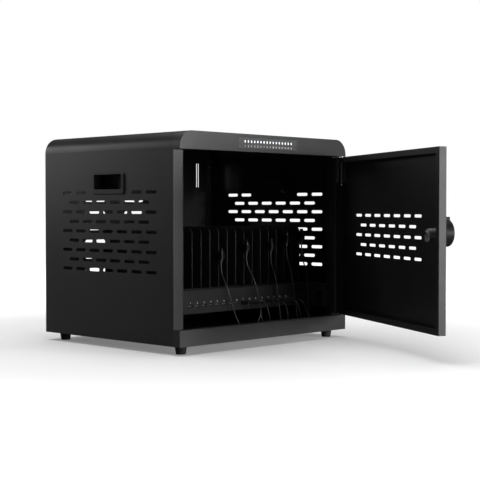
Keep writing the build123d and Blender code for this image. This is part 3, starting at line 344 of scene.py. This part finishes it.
# numbers printed under the lamps and beside the ports, in millimetres
numberPrint = {"thick": 0.03, "bold": 0.1, "curveSteps": 3, "weld": 0.0001}
lampRow = {"count": 16, "pitch": 9.53, "middle": 0.0, "height": 404.6, "size": 5.2}
portRow = {"count": 16, "pitch": 19.8, "middle": 3.0, "height": 76.6, "size": 4.8}


# numbers 1 to count on the front of a node, which looks along -Y
def numberRow(name, row, carrier):
    firstX = row["middle"] - row["pitch"] * (row["count"] - 1) / 2
    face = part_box(carrier)[0].y
    upright = Matrix.Rotation(math.radians(90), 4, "X")
    whole = bmesh.new()
    for step in range(row["count"]):
        data = bpy.data.curves.new("number", "FONT")
        data.body = str(step + 1)
        data.size = row["size"] * mm
        data.extrude = numberPrint["thick"] * mm
        data.offset = numberPrint["bold"] * mm
        data.resolution_u = numberPrint["curveSteps"]
        data.align_x = "CENTER"
        data.align_y = "CENTER"
        text = bpy.data.objects.new("number", data)
        bpy.context.scene.collection.objects.link(text)
        mesh = bpy.data.meshes.new_from_object(text)
        bpy.data.objects.remove(text)
        place = Matrix.Translation(((firstX + step * row["pitch"]) * mm, face, row["height"] * mm))
        mesh.transform(place @ upright)
        whole.from_mesh(mesh)
        bpy.data.meshes.remove(mesh)
    bmesh.ops.remove_doubles(whole, verts=whole.verts, dist=numberPrint["weld"] * mm)
    bmesh.ops.recalc_face_normals(whole, faces=whole.faces)
    mesh = bpy.data.meshes.new(name)
    whole.to_mesh(mesh)
    whole.free()
    addPiece(name, mesh, "cabinet", "markWhite")


numberRow("lampNumbers", lampRow, "lamp_panel")
numberRow("portNumbers", portRow, "hub_front")
print("stage: numbers")

# floor and room, in metres; the camera sees them pale, and every other ray finds them dark
studio = {
    "floorSize": 60.0,
    "floorSeen": 0.8,
    "floorFelt": 0.16,
    "floorRough": 0.6,
    "floorGloss": 0.2,
    "nearGlow": 0.18,  # lifts the floor towards white round the shadow
    "farGlow": 1.0,
    "glowFrom": 0.45,  # from the middle, where the floor starts to turn plain white
    "glowTo": 1.5,
    "roomSeen": 1.0,
    "roomFelt": 0.055,
}


# one value for the camera's own rays and another for every other ray
def fromCamera(tree, seen, felt):
    path = tree.nodes.new("ShaderNodeLightPath")
    level = tree.nodes.new("ShaderNodeMapRange")
    for socket, value in (("To Max", seen), ("To Min", felt)):
        if isinstance(value, float):
            level.inputs[socket].default_value = value
        else:
            tree.links.new(value, level.inputs[socket])
    tree.links.new(path.outputs["Is Camera Ray"], level.inputs["Value"])
    return level.outputs["Result"]


def makeFloor():
    shape = bmesh.new()
    bmesh.ops.create_grid(shape, x_segments=1, y_segments=1, size=studio["floorSize"] / 2)
    bmesh.ops.translate(shape, verts=shape.verts, vec=(0, 0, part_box("feet")[0].z))
    mesh = bpy.data.meshes.new("studioFloor")
    shape.to_mesh(mesh)
    shape.free()
    floor = bpy.data.objects.new("studioFloor", mesh)
    bpy.context.scene.collection.objects.link(floor)
    material, tree, surface = newMaterial("studioWhite")
    place = tree.nodes.new("ShaderNodeTexCoord")
    away = tree.nodes.new("ShaderNodeVectorMath")
    away.operation = "LENGTH"
    tree.links.new(place.outputs["Object"], away.inputs[0])
    glow = tree.nodes.new("ShaderNodeMapRange")
    glow.interpolation_type = "SMOOTHSTEP"
    for socket, value in (("From Min", studio["glowFrom"]), ("From Max", studio["glowTo"]),
                          ("To Min", studio["nearGlow"]), ("To Max", studio["farGlow"])):
        glow.inputs[socket].default_value = value
    tree.links.new(away.outputs["Value"], glow.inputs["Value"])
    tone = tree.nodes.new("ShaderNodeCombineColor")
    level = fromCamera(tree, studio["floorSeen"], studio["floorFelt"])
    for channel in ("Red", "Green", "Blue"):
        tree.links.new(level, tone.inputs[channel])
    tree.links.new(tone.outputs["Color"], surface.inputs["Base Color"])
    tree.links.new(fromCamera(tree, glow.outputs["Result"], 0.0), surface.inputs["Emission Strength"])
    surface.inputs["Emission Color"].default_value = (1, 1, 1, 1)
    surface.inputs["Roughness"].default_value = studio["floorRough"]
    surface.inputs["Specular IOR Level"].default_value = studio["floorGloss"]
    mesh.materials.append(material)


makeFloor()
world = bpy.data.worlds.new("studioRoom")
bpy.context.scene.world = world
world.use_nodes = True
room = world.node_tree
background = room.nodes["Background"]
background.inputs["Color"].default_value = (1, 1, 1, 1)
roomLevel = fromCamera(room, studio["roomSeen"], studio["roomFelt"])
room.links.new(roomLevel, background.inputs["Strength"])

# soft lights, in metres
softboxes = {
    "rearLeft": {"place": (-1.35, 2.6, 1.1), "size": (1.0, 1.4), "watts": 16, "aim": (-0.25, 0.1, 0.35)},
    "frontRight": {"place": (1.25, -2.9, 0.35), "size": (0.8, 1.1), "watts": 64, "aim": (-0.1, -0.2, 0.2)},
    "front": {"place": (-0.4, -3.5, 0.35), "size": (1.2, 0.9), "watts": 46, "aim": (0, -0.4, 0.2)},
    "overhead": {"place": (-0.1, 0.2, 3.0), "size": (2.6, 2.6), "watts": 84, "aim": (0, 0, 0)},
}
for name, box in softboxes.items():
    data = bpy.data.lights.new(name, "AREA")
    data.shape = "RECTANGLE"
    data.size, data.size_y = box["size"]
    data.energy = box["watts"]
    lamp = bpy.data.objects.new(name, data)
    lamp.location = box["place"]
    beam = Vector(box["aim"]) - Vector(box["place"])
    lamp.rotation_euler = beam.to_track_quat("-Z", "Y").to_euler()
    bpy.context.scene.collection.objects.link(lamp)
bpy.context.scene.view_settings.view_transform = "Standard"
print("stage: studio")
